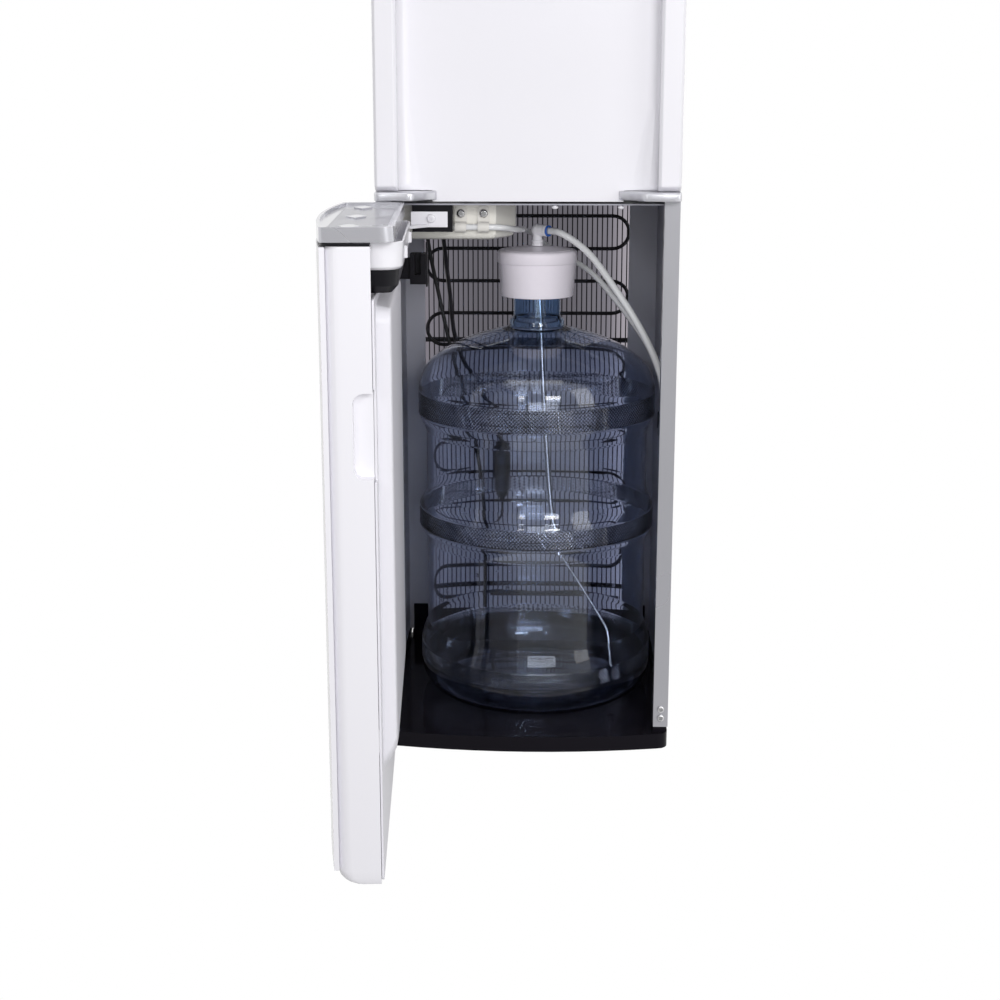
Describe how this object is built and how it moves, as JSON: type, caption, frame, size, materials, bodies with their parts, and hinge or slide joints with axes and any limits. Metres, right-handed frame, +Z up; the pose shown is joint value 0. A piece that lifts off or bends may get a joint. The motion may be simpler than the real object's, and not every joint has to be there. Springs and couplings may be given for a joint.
{
  "type": "bottom load water cooler",
  "caption": "Free-standing water cooler that hides its bottle behind a lower door; the door carries a lift-out drip tray.",
  "frame": {"origin": "centre of the base's underside, between the side panels, on the plane of its rib pads", "axes": "+Z up, -Y towards the front, +X towards the cooler's right as seen by someone facing it"},
  "size_m": [0.3439, 0.6529, 1.05],
  "materials": {
    "cool_white": "smooth white moulding",
    "liner_white": "satin white inner skin",
    "satin_silver": "silver painted plastic",
    "panel_paint": "grey painted steel sheet",
    "gloss_black": "glossy black moulding",
    "matt_black": "satin black plastic",
    "black_enamel": "black enamelled steel",
    "cable_black": "black cable sheath",
    "cream_plastic": "cream moulding",
    "clip_plastic": "pale grey plastic",
    "steel": "bright steel",
    "rubber": "black rubber",
    "tube_white": "milky white tube",
    "cap_white": "pale lilac white cap",
    "bottle_blue": "clear blue water bottle",
    "foam": "insulating foam",
    "red_plastic": "red plastic",
    "blue_plastic": "blue plastic"
  },
  "bodies": {
    "cabinet": {"base_tray": "gloss_black", "foot_front_left": "rubber", "foot_front_right": "rubber", "foot_rear_left": "rubber", "foot_rear_right": "rubber", "side_panel_left": "panel_paint", "side_panel_right": "panel_paint", "pillar_left": "satin_silver", "pillar_right": "satin_silver", "pillar_screw_1": "steel", "pillar_screw_2": "steel", "deck_plate": "panel_paint", "rear_upper_panel": "panel_paint", "mains_inlet": "matt_black", "alcove_fascia": "cool_white", "collar": "satin_silver", "head_housing": "cool_white", "control_panel": "gloss_black", "top_cover": "cool_white", "spout_cold": "cool_white", "spout_room": "cool_white", "spout_hot": "cool_white", "compressor": "black_enamel", "hot_tank": "steel", "cold_tank": "foam", "condenser_tube": "black_enamel", "condenser_wires": "black_enamel", "filter_drier": "black_enamel", "sensor_cable": "cable_black", "pump_cover": "cream_plastic", "water_pump": "matt_black", "tube_clip_1": "clip_plastic", "tube_clip_2": "clip_plastic", "clip_screw_1": "steel", "clip_screw_2": "steel", "suction_tube": "tube_white", "feed_tube": "tube_white", "tube_union": "matt_black", "hinge_block": "matt_black", "hinge_arm": "cool_white", "hinge_screw": "cool_white", "lower_hinge": "steel", "door_switch": "matt_black"},
    "door": {"door_shell": "cool_white", "door_liner": "liner_white", "tray_carrier": "matt_black"},
    "drip_tray": {"drip_grille": "satin_silver", "drip_basin": "cool_white"},
    "bottle": {"bottle": "bottle_blue"},
    "probe": {"probe_cap": "cap_white", "probe_elbow": "cool_white", "dip_tube": "steel", "tail_tube": "tube_white"},
    "button_cold": {"button_cold": "blue_plastic"},
    "button_room": {"button_room": "cool_white"},
    "button_hot": {"button_hot": "red_plastic"},
    "child_lock": {"child_lock": "cool_white"},
    "rocker_heating": {"rocker_heating": "red_plastic"},
    "rocker_cooling": {"rocker_cooling": "matt_black"}
  },
  "joints": [
    {"name": "door_hinge", "type": "hinge", "parent": "cabinet", "child": "door", "pos_m": [-0.147, -0.19, 0.3], "axis": [0, 0, -1], "range_deg": [-86.5, 25]},
    {"name": "tray_lift", "type": "slide", "parent": "door", "child": "drip_tray", "axis": [0, 0, 1], "range_m": [0, 0.06]},
    {"name": "bottle_slide", "type": "slide", "parent": "cabinet", "child": "bottle", "axis": [-0.047, -0.9989, 0], "range_m": [0, 0.14], "deforming": ["suction_tube"]},
    {"name": "probe_lift", "type": "slide", "parent": "bottle", "child": "probe", "axis": [0, 0, 1], "range_m": [0, 0.006], "deforming": ["suction_tube"]},
    {"name": "press_cold", "type": "slide", "parent": "cabinet", "child": "button_cold", "axis": [0, 1, 0], "range_m": [0, 0.004]},
    {"name": "press_room", "type": "slide", "parent": "cabinet", "child": "button_room", "axis": [0, 1, 0], "range_m": [0, 0.004]},
    {"name": "press_hot", "type": "slide", "parent": "cabinet", "child": "button_hot", "axis": [0, 1, 0], "range_m": [0, 0.004]},
    {"name": "lock_slide", "type": "slide", "parent": "cabinet", "child": "child_lock", "axis": [1, 0, 0], "range_m": [0, 0.01]},
    {"name": "heating_rocker", "type": "hinge", "parent": "cabinet", "child": "rocker_heating", "pos_m": [-0.062, 0.1505, 0.806], "axis": [1, 0, 0], "range_deg": [-16, 0]},
    {"name": "cooling_rocker", "type": "hinge", "parent": "cabinet", "child": "rocker_cooling", "pos_m": [-0.03, 0.1505, 0.806], "axis": [1, 0, 0], "range_deg": [-16, 0]}
  ]
}
